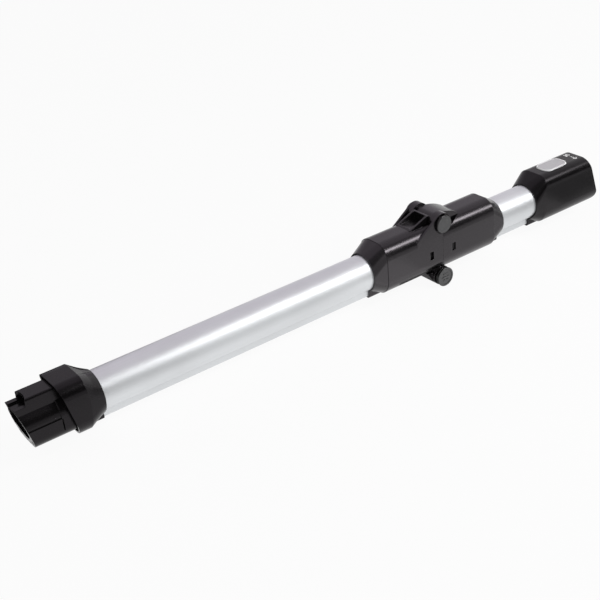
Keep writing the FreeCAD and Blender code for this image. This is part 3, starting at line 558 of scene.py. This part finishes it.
def drawn_in(name, node, finish, move):
    """A merged copy of a moulding, with its points taken through move, as rows (x, y, z) in millimetres.

    Its flat faces keep flat normals, and its rounded corners blend into them.
    """
    mesh = frame["nodes"][node].data.copy()
    if "custom_normal" in mesh.attributes:
        mesh.attributes.remove(mesh.attributes["custom_normal"])
    cleaned(mesh, 0.001 * MM, outwards=False)
    points = np.empty(len(mesh.vertices) * 3)
    mesh.vertices.foreach_get("co", points)
    mesh.vertices.foreach_set("co", (move(points.reshape(-1, 3) / MM) * MM).ravel())
    piece = add_piece(name, mesh, finish, sharp=28)
    piece.modifiers.new("even_normals", "WEIGHTED_NORMAL").keep_sharp = True
    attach(piece, body_of(node))
    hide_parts(node)


def ease(values, low, high):
    """0 below low, 1 above high, and 3t^2 - 2t^3 between."""
    t = np.clip((values - low) / (high - low), 0, 1)
    return t * t * (3 - 2 * t)


def along_x(points, amounts):
    """The points, each moved along X by its own amount."""
    return points + np.outer(amounts, [1, 0, 0])


def socket_form(points):
    """The socket: its cone's mouth and seam stand further along, and its pocket's ends nearer together.

    Both moves are a line through their values at stations along X, times an ease over the height.
    """
    x, z = points[:, 0], points[:, 2]
    at_mouth, at_seam, fade = 2.6, 2.4, 10.0
    cone_low, cone_full = -17.0, -8.0
    cone = np.interp(x, [SOCKET_LOW[0], SOCKET_SEAM, SOCKET_SEAM + fade], [at_mouth, at_seam, 0])
    cone = cone * ease(z, cone_low, cone_full)
    outside, near_end, middle, far_end, beyond = SOCKET_SEAM + np.array([8.0, 10.5, 31.0, 51.5, 58.0])
    closer = 2.2
    wall_low, wall_full = 24.0, 28.0
    pocket = np.interp(x, [outside, near_end, middle, far_end, beyond], [0, closer, 0, -closer, 0])
    pocket = pocket * ease(z, wall_low, wall_full)
    return along_x(points, cone + pocket)


def button_form(points):
    """The release button, shortened by a share of its length about its middle."""
    shorter = 0.11
    middle = SOCKET_SEAM + 30.9
    return along_x(points, shorter * (middle - points[:, 0]))


def ferrule_form(points):
    """The upper ferrule: what stands past the housing's seam is shortened by a tenth."""
    shorter = 0.10
    seam = box_mm("upper_housing")[1][0]
    return along_x(points, -shorter * np.maximum(points[:, 0] - seam, 0))


def collar_form(points):
    """The plug collar: its outer skin is drawn towards the wand's axis, more at the top than at the sides.

    A point moves in by most (radius - skin) / spread, held between 0 and most, and most grows with the
    height.
    """
    at_sides, more_on_top = 0.7, 0.7
    top_low, top_full = 8.0, 20.0
    skin, spread = 20.7, 6.0
    radius = np.hypot(points[:, 1], points[:, 2])
    most = at_sides + more_on_top * ease(points[:, 2], top_low, top_full)
    kept = 1 - most * np.clip((radius - skin) / spread, 0, 1) / radius
    return points * np.stack([np.ones(len(points)), kept, kept], -1)


def end_fittings():
    """The mouldings with some faces 0.7 to 2.6 mm further in than on their solids."""
    drawn_in("socket_moulding", "socket_shell", "end_black", socket_form)
    drawn_in("button_moulding", "release_button", "button_grey", button_form)
    drawn_in("ferrule_moulding", "upper_ferrule", "shell_black", ferrule_form)
    drawn_in("collar_moulding", "plug_collar", "end_black", collar_form)


def button_lip():
    """A round bead along the button's edge: a circle carried round a rectangle with round corners."""
    low, high = box_mm("release_button")
    bead = 0.95
    sunk = 0.72
    half_length = 17.8 - bead
    half_width = high[1] - bead
    corner = 8.0 - bead
    corner_steps, bead_steps = 16, 14
    path = []
    outward = []
    for quarter, (sign_x, sign_y) in enumerate(((1, 1), (-1, 1), (-1, -1), (1, -1))):
        angle = np.radians(np.linspace(90 * quarter, 90 * (quarter + 1), corner_steps))
        way = np.stack([np.cos(angle), np.sin(angle)], -1)
        path.append(way * corner + [sign_x * (half_length - corner), sign_y * (half_width - corner)])
        outward.append(way)
    path = np.concatenate(path) + [(low[0] + high[0]) / 2, 0]
    outward = np.concatenate(outward)
    angle = np.linspace(0, 2 * np.pi, bead_steps, endpoint=False)
    flat = path[:, None] + outward[:, None] * (bead * np.cos(angle))[None, :, None]
    height = np.broadcast_to(high[2] - sunk + bead * np.sin(angle), flat.shape[:2])
    grid = np.concatenate([flat, height[..., None]], -1)
    # its white finish is partly the rim's own colour and partly a painted highlight
    piece = sheet_piece("button_lip", [(grid, True, True)], "lip_white")
    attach(piece, body_of("release_button"))


# Printed mark

def socket_height(y):
    """The height of the socket's top: flat in the middle, then a quarter circle down to each side."""
    corner = 13.0
    past = np.clip(np.abs(y) - (SOCKET_HIGH[1] - corner), 0, corner)
    return SOCKET_HIGH[2] - corner + np.sqrt(corner * corner - past * past)


def stroke(points, width):
    """A flat printed line: points (x, y) carried to both sides by half the width along their normals,
    as a closed band with its own small thickness that follows the socket's top."""
    proud, sunk = 0.06, 0.02
    along = np.gradient(points, axis=0)
    along /= np.linalg.norm(along, axis=1)[:, None]
    side = np.stack([-along[:, 1], along[:, 0]], -1) * width / 2
    left, right = points + side, points - side
    corners = ((left, -sunk), (right, -sunk), (right, proud), (left, proud))
    rows = [np.column_stack([edge, socket_height(edge[:, 1]) + lift]) for edge, lift in corners]
    ribbon = np.stack(rows, 1)
    ends = ribbon.mean(1, keepdims=True)
    closed = np.concatenate([np.repeat(ends[:1], 4, 1), ribbon, np.repeat(ends[-1:], 4, 1)])
    return closed, False, True


def release_mark():
    """A printed open padlock with an arrow beside it, across the socket's top, past the button.

    It is drawn flat, u across the wand and v along it, and then laid on the shell.
    """
    middle_x = SOCKET_SEAM + 62.9
    body_left, body_right, body_foot = -8.7, -3.1, -2.7
    body_lines, body_width = 4, 1.15
    bow_middle, bow_height, bow_radius, bow_width = -5.9, 1.2, 1.9, 1.1
    leg, leg_foot = bow_middle - bow_radius, 0.2
    arrow_tail, arrow_neck, arrow_tip, arrow_spread, arrow_width = -0.2, 5.2, 8.4, 2.8, 1.4
    overlap = 0.1
    marks = []

    def put(drawn, width):
        marks.append(stroke(np.stack([middle_x + drawn[:, 1], -drawn[:, 0]], -1), width))

    for level in np.linspace(body_foot, 0, body_lines):
        put(np.linspace([body_left, level], [body_right, level], num=10), body_width)
    angle = np.linspace(0, np.pi, num=25)
    bow = bow_radius * np.stack([np.cos(angle), np.sin(angle)], -1)
    put(bow + [bow_middle, bow_height], bow_width)
    put(np.linspace([leg, bow_height + overlap], [leg, leg_foot], num=6), bow_width)
    put(np.linspace([arrow_tail, 0], [arrow_tip - 2 * overlap, 0], num=16), arrow_width)
    for spread in (arrow_spread, -arrow_spread):
        put(np.linspace([arrow_neck, spread], [arrow_tip, 0], num=10), arrow_width)
    piece = sheet_piece("release_mark", marks, "white_ink")
    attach(piece, "upper")


# Camera, floor and light

def stand(name, data, right, up, back, place):
    """Puts a camera or a lamp in a place, turned by its own three axes, so that it looks away from back."""
    turn = Matrix([list(row) for row in np.stack([right, up, back], 1)])
    holder = bpy.data.objects.new(name, data)
    holder.matrix_world = Matrix.Translation(place) @ turn.to_4x4()
    bpy.context.scene.collection.objects.link(holder)
    return holder


def camera():
    """The photograph's own view: where the camera stands, how it is turned, and its lens."""
    place = (-0.2533, -0.8166, 0.5551)
    azimuth, elevation, roll = (math.radians(angle) for angle in (-33.985, 29.4, -5.519))
    view = bpy.data.cameras.new("photo_camera")
    view.lens = 68.985
    view.sensor_width = 36.0
    view.clip_end = 50.0
    level_right = np.array([math.cos(azimuth), math.sin(azimuth), 0])
    back = np.array([math.sin(azimuth) * math.cos(elevation), -math.cos(azimuth) * math.cos(elevation),
                     math.sin(elevation)])
    level_up = np.cross(back, level_right)
    right = math.cos(roll) * level_right + math.sin(roll) * level_up
    up = math.cos(roll) * level_up - math.sin(roll) * level_right
    bpy.context.scene.camera = stand("photo_camera", view, right, up, back, place)


def seen_directly(nodes):
    """1 for camera, glossy and transmission rays, which all see the plain background, and 0 for others."""
    rays = nodes.node("ShaderNodeLightPath").outputs
    seen = Value(nodes, rays["Is Camera Ray"])
    return seen.at_least(rays["Is Glossy Ray"]).at_least(rays["Is Transmission Ray"])


def stage_board(name, points, faces):
    """A board that isn't part of the object: gives the board, and the nodes of its empty material."""
    mesh = bpy.data.meshes.new(name)
    mesh.from_pydata(points, [], faces)
    material = bpy.data.materials.new(name)
    material.use_nodes = True
    material.node_tree.nodes.clear()
    mesh.materials.append(material)
    board = bpy.data.objects.new(name, mesh)
    bpy.context.scene.collection.objects.link(board)
    return board, Nodes(material.node_tree)


def floor():
    """A wide pale floor: mostly its own white for what sees it directly, which leaves a faint shadow."""
    side = 12.0
    low = cad_box[0][2]
    own_white = 0.93
    corners = [(-side, -side, low), (side, -side, low), (side, side, low), (-side, side, low)]
    nodes = stage_board("floor", corners, [(0, 1, 2, 3)])[1]
    lit = nodes.node("ShaderNodeBsdfDiffuse", None, {"Color": grey(0.86)}).outputs[0]
    glow = nodes.node("ShaderNodeEmission", None, {"Color": grey(1.0)}).outputs[0]
    both = nodes.node("ShaderNodeMixShader", None, {0: seen_directly(nodes) * own_white, 1: lit, 2: glow})
    nodes.node("ShaderNodeOutputMaterial", None, {"Surface": both.outputs[0]})


def world():
    """White for what sees it directly, and a mid level for the light that it gives."""
    light_given, white_seen = 0.38, 1.0
    made = bpy.data.worlds.new("studio")
    bpy.context.scene.world = made
    made.use_nodes = True
    nodes = Nodes(made.node_tree)
    level = nodes.node("ShaderNodeMapRange", None,
                       {"Value": seen_directly(nodes), "To Min": light_given, "To Max": white_seen})
    nodes.plug(made.node_tree.nodes["Background"], {"Color": grey(1.0), "Strength": level.outputs[0]})


def card(name, profile, stations):
    """A long studio card that only reflections see: a (y, z) profile carried along X. Each station is
    an x and a shade, and the shade runs evenly from one station to the next."""
    profile = np.asarray(profile, float)
    x = np.array([place for place, shade in stations], float)
    rows, count = len(x), len(profile)
    grid = np.stack([np.repeat(x[:, None], count, 1), np.tile(profile[:, 0], (rows, 1)),
                     np.tile(profile[:, 1], (rows, 1))], -1)
    index = np.arange(rows * count).reshape(rows, count)
    corners = [index[:-1, :-1], index[:-1, 1:], index[1:, 1:], index[1:, :-1]]
    faces = np.stack(corners, -1).reshape(-1, 4)
    board, nodes = stage_board(name, grid.reshape(-1, 3).tolist(), faces.tolist())
    shades = np.repeat([shade for place, shade in stations], count, 0)
    board.data.attributes.new("shade", "FLOAT_COLOR", "POINT").data.foreach_set("color", shades.ravel())
    painted = nodes.node("ShaderNodeAttribute", {"attribute_name": "shade"}).outputs["Color"]
    glow = nodes.node("ShaderNodeEmission", None, {"Color": painted})
    nodes.node("ShaderNodeOutputMaterial", None, {"Surface": glow.outputs[0]})
    for sort in ("camera", "diffuse", "shadow", "transmission", "volume_scatter"):
        setattr(board, "visible_" + sort, False)


def even(first, last, level, warm=0.0, cool=0.0):
    """The stations of a card with one grey from its first x to its last."""
    shade = grey(level, warm, cool)
    return [(first, shade), (last, shade)]


def rise(first, last, radius, count=13):
    """Points (y, z) on an arc about the wand, from one angle above the front horizon to another."""
    angle = np.radians(np.linspace(first, last, count))
    return np.stack([-radius * np.cos(angle), radius * np.sin(angle)], -1)


def soft_box(name, toward, distance, size, power, about):
    """A rectangular lamp at a distance along a direction from a point, facing it, long side along X."""
    toward = np.array(toward, float)
    toward /= np.linalg.norm(toward)
    lamp = bpy.data.lights.new(name, "AREA")
    lamp.shape = "RECTANGLE"
    lamp.size, lamp.size_y = size
    lamp.energy = power
    side = np.array([1.0, 0, 0]) - toward * toward[0]
    side /= np.linalg.norm(side)
    place = np.array(about) + toward * distance
    stand(name, lamp, side, np.cross(toward, side), toward, place.tolist())


def lamps():
    """A strip high over the front, out past the socket's end, and a soft fill from the front left."""
    strip = math.radians(47)
    soft_box("strip", toward=(0, -math.cos(strip), math.sin(strip)), distance=1.3, size=(1.00, 0.32),
             power=10.4, about=(1.23, 0, 0))
    soft_box("fill", toward=(-0.55, -0.80, 0.50), distance=2.4, size=(1.2, 1.2),
             power=11, about=(0.355, 0, 0))


def cards():
    """What the black and the metal reflect: wide cards on an arc from the front over the top to the back,
    dark flags near the wand's front, and small cards on the floor."""
    ground = cad_box[0][2] + 0.4 * MM
    far, near = 1.62, 0.25
    left, right = -1.4, 2.2
    beside = rise(2, 38, near)
    card("front_flag", [(-0.12, ground), (-0.55, ground), (-1.6, 0.30), *rise(12, 36, far)],
         [(left, grey(0.50)), (0.80, grey(0.66)), (1.25, grey(0.66)), (1.45, grey(0.30)),
          (right, grey(0.20))])
    card("plug_flag", beside, even(-0.02, 0.20, 0.01))
    card("knee_flag", beside, even(0.53, 0.71, 0.01))
    card("end_flag", beside, even(0.78, 0.95, 0.01))
    card("corner_flag", rise(36, 60, far), even(left, 0.72, 0.08))
    card("top_flag", rise(60, 80, far), even(left, right, 0.25, 0.04, 0.06))
    card("ceiling", rise(80, 172, far, count=25), even(left, right, 0.63, 0.07, 0.09))
    card("back_flag", [(0.06, ground), (0.60, ground), (1.5, 0.38)], even(-1.7, 0.40, 0.05))
    card("barrel_flag", [(-0.02, ground), (0.15, ground)], even(0.425, 0.47, 0.22))
    card("side_card", [(-0.040, ground), (-0.119, ground)], even(0.395, 0.472, 1.30))
    card("socket_flag", [(-0.064, ground), (-0.119, ground)], even(0.70, 1.15, 0.30))


def main():
    bpy.context.scene.view_settings.view_transform = "Standard"
    camera()
    floor()
    world()
    lamps()
    cards()
    dress_nodes()
    hose_piece()
    springs()
    end_fittings()
    button_lip()
    release_mark()


main()
